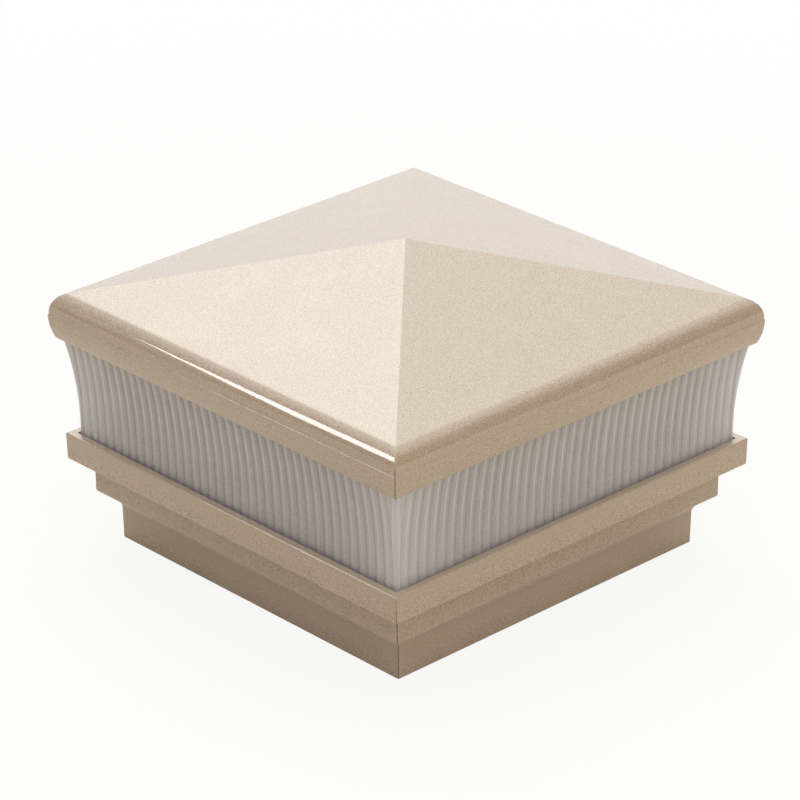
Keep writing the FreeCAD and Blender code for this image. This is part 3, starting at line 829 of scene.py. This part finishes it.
def lead_path(way, pin):
    """Places along a lead: straight runs joined by arcs as large as the shorter run allows."""
    block_face_x = block_x + block_size_x / 2
    points = [
        Vector((block_face_x - cage_inset - lead_end_in_cage, block_y + way, cage_z)),
        Vector((block_face_x + lead_straight, block_y + way, cage_z)),
        Vector((connector_face_x - lead_straight, block_y + pin, connector_wire_z)),
        Vector((connector_face_x + port_depth - lead_short, block_y + pin, connector_wire_z)),
    ]
    path = [points[0]]
    for before, corner, after in zip(points, points[1:], points[2:]):
        arriving = (corner - before).normalized()
        leaving = (after - corner).normalized()
        trim = lead_bend_share * min((corner - before).length, (after - corner).length)
        turn = arriving.angle(leaving)
        radius = trim / math.tan(turn / 2)
        start = corner - arriving * trim
        inward = (leaving - arriving.dot(leaving) * arriving).normalized()
        for step in range(bend_steps + 1):
            angle = turn * step / bend_steps
            along = arriving * radius * math.sin(angle)
            path.append(start + along + inward * radius * (1 - math.cos(angle)))
    return path + [points[-1]]


def tube_mesh(path, radius):
    """Round tube along a path."""
    made = bmesh.new()
    rings = []
    for index, here in enumerate(path):
        ahead = (path[min(index + 1, len(path) - 1)] - path[max(index - 1, 0)]).normalized()
        side = ahead.cross(Vector((0, 0, 1))).normalized()
        up = side.cross(ahead)
        ring = []
        for step in range(lead_around):
            angle = 2 * math.pi * step / lead_around
            place = here + side * radius * math.cos(angle) + up * radius * math.sin(angle)
            ring.append(made.verts.new(place))
        rings.append(ring)
    skin(made, rings)
    return made


terminal_nylon = mottled(
    "dark_nylon", (0.035, 0.038, 0.042), roughness=0.42, grain_mm=0.5, amount=0.15, depth_mm=0.008
)
softened("terminal_block", terminal_nylon, bevel_mm=0.2)
brass = mottled(
    "brass", (0.74, 0.52, 0.20), roughness=0.28, grain_mm=0.6, amount=0.08, depth_mm=0.004,
    metallic=1.0, stretch=(0.1, 1, 1),
)
softened("terminal_cages", brass, bevel_mm=0.12)
screw_reach = block_size_x / 2 - cage_inset - cage_size / 2
terminal_places = []
for way in (-way_half_pitch, way_half_pitch):
    for end in (-1, 1):
        terminal_places.append((block_x + end * screw_reach, block_y + way))
terminal_screw_set = screws(
    "terminal_screw_set", terminal_places, terminal_seat_z, 1, terminal_tip_z,
    terminal_shank, terminal_head, terminal_head_height, slotted=True,
)
finished(terminal_screw_set, "base", "zinc_steel", zinc, "terminal_screws")
red_vinyl = mottled(
    "red_vinyl", (0.52, 0.022, 0.018), roughness=0.36, grain_mm=0.5, amount=0.08, depth_mm=0.004
)
black_vinyl = mottled(
    "black_vinyl", (0.02, 0.02, 0.021), roughness=0.36, grain_mm=0.5, amount=0.2, depth_mm=0.004
)
for name, vinyl, slot, way, pin in (
    ("lead_red", red_vinyl, "red_insulation", -way_half_pitch, -pin_half_pitch),
    ("lead_black", black_vinyl, "black_insulation", way_half_pitch, pin_half_pitch),
):
    lead = to_object(name + "_vinyl", tube_mesh(lead_path(way, pin), lead_radius))
    finished(lead, "base", slot, vinyl, name)


# ---- lens --------------------------------------------------------------------------------------
# One square ring of frosted, milky acrylic that flares out towards the roof on a large arc. Upright
# reeds run up each side, a plain strip widens beside them, and a small bead rounds each corner.

lens_half = 69.35
lens_wall = 3.1
lens_bottom_z = 30.79
lens_top_z = 66.99
flare_start_z = 38.09
flare_radius = 140.0
flare_steps = 22
reed_pitch = 3.565
reed_depth = 0.42
reeds_per_side = 38
reed_flank = 0.3
reed_points = 12
reed_fullness = 1.9
# Width of the painted highlight line along each crest, as a share of half the reed pitch.
crest_highlight_half = 0.18
bead_radius = 1.2
bead_steps = 8
bead_strip = 0.4
# Painted highlight across the middle of each corner bead; the bead's two edges take it in full.
bead_painted_highlight = 0.25
foot_height = 0.25
lens_smooth_below_degrees = 44

milk_dark = (0.52, 0.49, 0.485)
milk_light = (0.76, 0.715, 0.705)
milk_cloud = (0.80, 0.76, 0.75)
milk_cloud_mm = 9
milk_cloud_share = 0.3
# Painted light: the lens is painted paler towards its corners, for light that comes in through two walls.
corner_glow_colour = (0.97, 0.95, 0.945)
corner_glow_share = 0.4
corner_glow_from = 42
corner_glow_to = 68
# Painted shade: the grooves between the reeds are painted darker, more so higher up.
groove_shade_colour = (0.46, 0.435, 0.43)
groove_shade_share = 0.4
groove_shade_from = 0.25
# Painted highlight: a pale line along each reed's crest and the corner bead's edges.
crest_highlight_colour = (1.0, 0.975, 0.965)
# Painted light: the groove shade and crest highlight fade out towards the foot of the lens, between these
# heights.
lit_from_z = 34
lit_to_z = 54
lit_least = 0.15
translucent_share = 0.35


def lens_half_at(z):
    rise = max(z - flare_start_z, 0)
    return lens_half + flare_radius - math.sqrt(flare_radius**2 - rise**2)


def lens_side():
    """Along, depth, groove and crest of the points of one side between its corner beads, measured
    from its middle. Groove and crest go from 0 to 1 for how far a point is in one or on the other; the
    lens paints shade by the groove and a painted highlight by the crest."""
    span = reed_pitch * reeds_per_side / 2
    side = [(-span - reed_flank, 0.0, 0.0, 0.0)]
    for reed in range(reeds_per_side):
        middle = (reed + 0.5) * reed_pitch - span
        for point in range(reed_points):
            across = 2 * point / reed_points - 1
            rise = (1 - abs(across) ** reed_fullness) ** (1 / reed_fullness)
            # Mask for the painted highlight along the crest.
            crest = max(0.0, 1 - abs(across) / crest_highlight_half)
            along = middle + across * reed_pitch / 2
            side.append((along, reed_depth * (1 - rise), 1 - rise, crest))
    side.append((span, reed_depth, 1.0, 0.0))
    side.append((span + reed_flank, 0.0, 0.0, 0.0))
    return side


def lens_plan(z, side):
    """Points round the outside of the lens at height z, each with its groove and crest."""
    half = lens_half_at(z)
    plan = [(along, depth - half, groove, crest) for along, depth, groove, crest in side]
    bead_start = half - bead_radius
    side_end = side[-1][0]
    plan.append((max(bead_start - bead_strip, side_end), -half, 0.0, 0.0))
    for step in range(bead_steps + 1):
        angle = math.radians(90) * step / bead_steps
        x = half - bead_radius * (1 - math.sin(angle))
        # Painted highlight on the bead: full at its two edges, less across its middle.
        shoulder = 1.0 if step in (0, bead_steps) else bead_painted_highlight
        plan.append((x, bead_radius * (1 - math.cos(angle)) - half, 0.0, shoulder))
    plan.append((half, min(bead_strip - bead_start, -side_end), 0.0, 0.0))
    turned = []
    for cos, sin in ((1, 0), (0, 1), (-1, 0), (0, -1)):
        for x, y, groove, crest in plan:
            turned.append((x * cos - y * sin, x * sin + y * cos, groove, crest))
    return turned


def lens_mesh():
    """Closed ring: the reeded outside, and a smooth inside that follows it at the wall's distance."""
    made = bmesh.new()
    groove_layer = made.verts.layers.float.new("groove")
    crest_layer = made.verts.layers.float.new("crest")
    side = lens_side()
    levels = [lens_bottom_z, lens_bottom_z + foot_height]
    for step in range(flare_steps + 1):
        levels.append(flare_start_z + (lens_top_z - flare_start_z) * step / flare_steps)
    outer, inner = [], []
    for z in levels:
        half = lens_half_at(z) - lens_wall
        outer_ring, inner_ring = [], []
        for x, y, groove, crest in lens_plan(z, side):
            vertex = made.verts.new((x, y, z))
            vertex[groove_layer] = groove
            vertex[crest_layer] = crest
            outer_ring.append(vertex)
            near = (max(-half, min(half, x)), max(-half, min(half, y)), z)
            inner_ring.append(made.verts.new(near))
        outer.append(outer_ring)
        inner.append(inner_ring)
    skin(made, outer + inner[::-1], closed=True)
    bmesh.ops.remove_doubles(made, verts=made.verts, dist=1e-5)
    return made


def lens_line(material, name):
    """How far a point is in a groove, or how much painted highlight it takes, as the mesh says."""
    made = shader_node(material.node_tree, "Attribute", {}, attribute_name=name)
    return made.outputs["Fac"]


def either(tree, operation, first, second):
    """One value from two sockets, by a Math node's operation."""
    return shader_node(tree, "Math", {0: first, 1: second}, operation=operation).outputs[0]


def parts_of(tree, source):
    """X, Y and Z of a place or a direction, as three sockets."""
    return shader_node(tree, "SeparateXYZ", {"Vector": source}).outputs


def mixed_shader(tree, factor, first, second, output="Material Output"):
    """Two shaders mixed by a factor, on the tree's output."""
    mixed = shader_node(tree, "MixShader", {"Fac": factor, 1: first, 2: second})
    tree.links.new(mixed.outputs["Shader"], tree.nodes[output].inputs["Surface"])


def frosted_acrylic():
    """Milky, frosted acrylic. It scatters light in its body. It is painted paler near the corners, as
    painted light for light that comes in from two sides; its grooves get painted shade, and its crests a
    painted highlight, more of both higher up."""
    made, shader = new_material("frosted_acrylic", roughness=0.32)
    tree = made.node_tree
    grain = spread_out(made, noise(made, size_mm=0.36), noise_low, noise_high)
    cloud = spread_out(made, noise(made, milk_cloud_mm), noise_low, noise_high)
    milk = blended(made, grain, milk_dark, milk_light)
    milk = blended(made, spread_out(made, cloud, 0, 1, 0, milk_cloud_share), milk, milk_cloud)
    # Painted light: paler towards the corners, by how far a point lies from the middle of its side.
    place = parts_of(tree, on_piece(tree))
    x_squared = either(tree, "MULTIPLY", place["X"], place["X"])
    y_squared = either(tree, "MULTIPLY", place["Y"], place["Y"])
    off_middle = either(tree, "MINIMUM", x_squared, y_squared)
    inner = (corner_glow_from * mm) ** 2
    outer = (corner_glow_to * mm) ** 2
    corner = spread_out(made, off_middle, inner, outer, 0, corner_glow_share)
    milk = blended(made, corner, milk, corner_glow_colour)
    # Painted light grows from the foot of the lens upwards.
    height = spread_out(made, place["Z"], lit_from_z * mm, lit_to_z * mm, lit_least, 1)
    # Painted shade in the grooves, faded towards the foot of the lens.
    depth = spread_out(made, lens_line(made, "groove"), groove_shade_from, 1, 0, groove_shade_share)
    milk = blended(made, either(tree, "MULTIPLY", depth, height), milk, groove_shade_colour)
    # Painted highlight along the crests, stronger higher up.
    line = either(tree, "MULTIPLY", lens_line(made, "crest"), height)
    milk = blended(made, line, milk, crest_highlight_colour)
    tree.links.new(milk, shader.inputs["Base Color"])
    shader.inputs["Coat Weight"].default_value = 0.8
    shader.inputs["Coat Roughness"].default_value = 0.22
    rough_skin(made, shader, grain, depth_mm=0.008)
    through = shader_node(tree, "BsdfTranslucent", {"Color": milk})
    mixed_shader(tree, translucent_share, shader.outputs["BSDF"], through.outputs["BSDF"])
    return made


finished(
    to_object("reeded_lens", lens_mesh()), "lens", "frosted_lens", frosted_acrylic(), "lens_ring",
    smooth_below=lens_smooth_below_degrees,
)


# ---- reflector ---------------------------------------------------------------------------------
# A white moulded plate closes the roof from below. The hollow pyramid in its middle hangs over the
# LEDs and throws their light out to the four sides, and two pan head screws hold the plate up.

plate_bottom_z = 68.19
plate_top_z = 70.19
reflector_screw_half = 57.91
reflector_screw_tip_z = 79.0

reflector_plastic = mottled(
    "reflector_plastic", (0.84, 0.84, 0.83), roughness=0.38, grain_mm=0.7, amount=0.03, depth_mm=0.004
)
softened("reflector", reflector_plastic, bevel_mm=0.25)
reflector_places = [(-reflector_screw_half, 0), (reflector_screw_half, 0)]
reflector_screw_set = screws(
    "reflector_screw_set", reflector_places, plate_bottom_z, -1, reflector_screw_tip_z,
    screw_shank, screw_head, screw_head_height,
)
finished(reflector_screw_set, "roof", "zinc_steel", zinc, "reflector_screws")


# ---- roof --------------------------------------------------------------------------------------
# One die casting, powder coated like the base: a low four-sided roof with a round edge, a rim whose
# fine parting line is left from the die, and four cross-shaped legs that push into the base.

roof_bottom_z = 66.49
rim_inner_half = 72.71
rim_mouth_half = 73.49
roof_half = 74.99
rim_lip_inset = 1.5
rim_drop = 7.6
parting_z = 74.09
parting_step = 0.22
parting_gap = 0.02
lip_round = 0.25
lip_round_degrees = 75
shell_edge = 0.06
roof_seam_top_z = parting_z + 2
rim_radius = 6.5
rim_centre_z = 74.79
roof_pitch = 14.5
apex_half = 0.5
leg_width = 6.0
leg_wall = 2.0
leg_end_z = 28.9
leg_root_z = plate_top_z + 3
leg_taper = 0.3
leg_tip = 1.6


def roof_section():
    """Section of the roof's shell, from its inner apex round the rim to its outer apex."""
    rim_centre_half = roof_half - parting_step - rim_radius
    inner_radius = rim_inner_half - rim_centre_half
    slope = math.tan(math.radians(roof_pitch))
    top = 90 - roof_pitch
    inner_edge = arc(rim_centre_half, rim_centre_z, inner_radius, top, 0, steps=8)
    outer_edge = arc(rim_centre_half, rim_centre_z, rim_radius, 0, top, steps=24)
    drop = rim_drop - lip_round
    lip_radius = (drop**2 + rim_lip_inset**2) / (2 * rim_lip_inset)
    lip_turn = math.degrees(math.asin(drop / lip_radius))
    lip = arc(roof_half - lip_radius, parting_z - lip_round, lip_radius, -lip_turn, 0, steps=8)
    lip += arc(roof_half - lip_round, parting_z - lip_round, lip_round, 0, lip_round_degrees, steps=6)[1:]
    inner_apex_z = inner_edge[0][1] + inner_edge[0][0] * slope
    outer_apex_z = outer_edge[-1][1] + outer_edge[-1][0] * slope
    rim = [(roof_half - parting_step, parting_z + parting_gap)]
    shell = inner_edge + [(rim_inner_half, roof_bottom_z)] + lip + rim + outer_edge
    apex = [(apex_half, outer_apex_z - apex_half * slope), (0, outer_apex_z)]
    return [(0, inner_apex_z)] + eased(shell, shell_edge) + apex


def add_leg(mesh, x, y):
    """Leg of cross section, tapered and bevelled at its end, in mesh."""
    top = leg_width / 2
    end = top - leg_taper
    profile = [
        (-top, leg_root_z),
        (-end, leg_end_z + leg_tip),
        (leg_tip - end, leg_end_z),
        (end - leg_tip, leg_end_z),
        (end, leg_end_z + leg_tip),
        (top, leg_root_z),
    ]
    for across in (False, True):
        faces = []
        for offset in (-leg_wall / 2, leg_wall / 2):
            ring = []
            for along, z in profile:
                place = (x + offset, y + along, z) if across else (x + along, y + offset, z)
                ring.append(mesh.verts.new(place))
            faces.append(ring)
        skin(mesh, faces)


roof = to_object("roof_shell", square_sweep(roof_section(), rim_mouth_half, roof_seam_top_z))
finished(roof, "roof", "painted_body", paint, "roof_cap")
leg_mesh = bmesh.new()
for x, y in four_corners(leg_half):
    add_leg(leg_mesh, x, y)
finished(to_object("roof_legs", leg_mesh), "roof", "painted_body", paint)


# ---- studio ------------------------------------------------------------------------------------
# A pale floor under a sky that is bright overhead. A large soft box stands behind on the left, two
# small ones fill the right and the front, and a narrow one draws the bright line on the roof's edge.

floor_half_m = 4.0
floor_z = -0.05
floor_colour = (0.78, 0.71, 0.61)
floor_white_near = 0.9
floor_white_from = 0.15
floor_white_to = 0.5
floor_shine_near = 0.2
floor_shine_from = 0.3
floor_shine_to = 0.9

white_light = (1, 1, 1, 1)
sky_low = 0.52
sky_high = 0.75
sky_top = (1.45, 1.48, 1.50)
backdrop_direction = (-0.73, 0.68, 0)
backdrop_edge = 0.72
backdrop_core = 0.86
glow_direction = (-0.657, 0.332, 0.677)
glow_edge = 0.94
glow_core = 0.985
glow_strength = 2.0

strip_strength = 13.5
strip_centre = Vector((-578, -636, 430))
strip_side = Vector((-0.679, 0.734, 0))
strip_up = Vector((0.286, 0.265, 0.921))
strip_corners = ((112, 36), (8, 165), (-108, -66), (-50, -135))

focal_pixels = 3887.5
picture_pixels = 800
sensor_mm = 36.0
near_clip = 0.05
camera_azimuth = 46.75
camera_elevation = 25.56
camera_roll = -0.296
half_width_m = 0.075
camera_distance = 15.298
camera_shift_x = 0.0217
camera_shift_y = 0.3287
camera_target = Vector((0, 0, 0.0741))


def seen_by(tree, share):
    """1 for rays from the camera and through clear surfaces, share for rays off shiny ones, and 0 for
    the rest."""
    ray = shader_node(tree, "LightPath", {}).outputs
    straight = either(tree, "MAXIMUM", ray["Is Camera Ray"], ray["Is Transmission Ray"])
    shiny = either(tree, "MULTIPLY", ray["Is Glossy Ray"], share)
    return either(tree, "MAXIMUM", straight, shiny)


def lit_material(name, strength):
    """Material with a white emission, and the emission's output."""
    made, shader = new_material(name, roughness=1.0)
    made.node_tree.nodes.remove(shader)
    bright = shader_node(made.node_tree, "Emission", {"Color": white_light, "Strength": strength})
    return made, bright.outputs["Emission"]


def white_floor():
    """Seen straight on, the floor is white. What it throws back, and its shadows, stay natural."""
    made, bright = lit_material("white_floor", 1.0)
    tree = made.node_tree
    matt = shader_node(tree, "BsdfDiffuse", {"Color": (*floor_colour, 1)}).outputs["BSDF"]
    away = shader_node(tree, "VectorMath", {0: on_piece(tree)}, operation="LENGTH").outputs["Value"]
    shine = spread_out(made, away, floor_shine_from, floor_shine_to, floor_shine_near, 1)
    white = spread_out(made, away, floor_white_from, floor_white_to, floor_white_near, 1)
    seen = either(tree, "MULTIPLY", seen_by(tree, shine), white)
    mixed_shader(tree, seen, matt, bright)
    return made


def towards(tree, source, direction):
    """How nearly a direction from source points this way, 1 at the most."""
    made = shader_node(tree, "VectorMath", {0: source, 1: direction}, operation="DOT_PRODUCT")
    return made.outputs["Value"]


def sky():
    """Dark at the horizon and bright overhead, with a glow at the back, and plain white to the
    camera."""
    world = bpy.data.worlds.new("studio")
    world.use_nodes = True
    tree = world.node_tree
    outward = shader_node(tree, "TexCoord", {}).outputs["Generated"]
    ramp = shader_node(tree, "ValToRGB", {"Fac": parts_of(tree, outward)["Z"]})
    low, high = ramp.color_ramp.elements
    low.position = sky_low
    low.color = (0, 0, 0, 1)
    high.position = sky_high
    high.color = (*sky_top, 1)
    dim = tree.nodes["Background"]
    tree.links.new(ramp.outputs["Color"], dim.inputs["Color"])
    facing_glow = towards(tree, outward, glow_direction)
    glow = spread_out(world, facing_glow, glow_edge, glow_core, 0, glow_strength)
    glow.node.interpolation_type = "SMOOTHSTEP"
    halo = shader_node(tree, "Background", {"Color": white_light, "Strength": glow})
    both = shader_node(tree, "AddShader", {
        0: dim.outputs["Background"],
        1: halo.outputs["Background"],
    })
    facing_back = towards(tree, outward, backdrop_direction)
    glimpsed = spread_out(world, facing_back, backdrop_edge, backdrop_core)
    white = shader_node(tree, "Background", {"Color": white_light}).outputs["Background"]
    mixed_shader(tree, seen_by(tree, glimpsed), both.outputs["Shader"], white, "World Output")
    bpy.context.scene.world = world


def soft_box(name, place, aim_z, width, power, colour):
    """Square lamp at place, in metres, that faces a point on the light's axis."""
    lamp = bpy.data.lights.new(name, "AREA")
    lamp.shape = "RECTANGLE"
    lamp.size = width
    lamp.size_y = width
    lamp.energy = power
    lamp.color = colour
    made = bpy.data.objects.new(name, lamp)
    made.location = place
    view = Vector((0, 0, aim_z)) - Vector(place)
    made.rotation_euler = view.to_track_quat("-Z", "Y").to_euler()
    bpy.context.scene.collection.objects.link(made)


def strip_box():
    """Narrow tapered box whose image lies along the front left edge of the roof."""
    mesh = bmesh.new()
    corners = [strip_centre + strip_side * right + strip_up * high for right, high in strip_corners]
    mesh.faces.new([mesh.verts.new(corner) for corner in corners])
    made = to_object("strip_box", mesh)
    glow, bright = lit_material("strip_glow", strip_strength)
    tree = glow.node_tree
    tree.links.new(bright, tree.nodes["Material Output"].inputs["Surface"])
    made.data.materials.append(glow)
    made.visible_diffuse = False


def photo_camera():
    """Camera of a long lens at the photograph's angle, set by its fitted place and roll."""
    turn = math.radians(camera_azimuth)
    lift = math.radians(camera_elevation)
    roll = math.radians(camera_roll)
    back = Vector((
        math.sin(turn) * math.cos(lift), -math.cos(turn) * math.cos(lift), math.sin(lift)
    ))
    level = Vector((math.cos(turn), math.sin(turn), 0))
    upright = back.cross(level)
    right = level * math.cos(roll) + upright * math.sin(roll)
    up = upright * math.cos(roll) - level * math.sin(roll)
    offset = back * camera_distance - right * camera_shift_x - up * camera_shift_y
    lens_data = bpy.data.cameras.new("photo_camera")
    lens_data.sensor_width = sensor_mm
    lens_data.lens = focal_pixels * sensor_mm / picture_pixels
    lens_data.clip_start = near_clip
    made = bpy.data.objects.new("photo_camera", lens_data)
    bpy.context.scene.collection.objects.link(made)
    matrix = made.matrix_world.copy()
    for column, axis in enumerate((right, up, back, camera_target + offset * half_width_m)):
        for row in range(3):
            matrix[row][column] = axis[row]
    made.matrix_world = matrix
    bpy.context.scene.camera = made


floor_mesh = bmesh.new()
floor_corners = four_corners(floor_half_m / mm)
floor_mesh.faces.new([floor_mesh.verts.new((x, y, floor_z)) for x, y in floor_corners])
floor = to_object("floor", floor_mesh)
floor.data.materials.append(white_floor())
sky()
soft_box(
    "back_box", place=(-0.68, 0.67, 0.92), aim_z=0.08, width=1.3, power=4.1, colour=(0.9, 1.0, 0.98)
)
soft_box(
    "right_fill", place=(1.2, -0.1, 0.6), aim_z=0.06, width=0.7, power=2.6, colour=(1.0, 0.96, 0.86)
)
soft_box(
    "front_fill", place=(-0.35, -1.2, 0.55), aim_z=0.06, width=0.7, power=0.7, colour=(1.0, 0.97, 0.88)
)
strip_box()
photo_camera()
bpy.context.scene.view_settings.view_transform = "Standard"
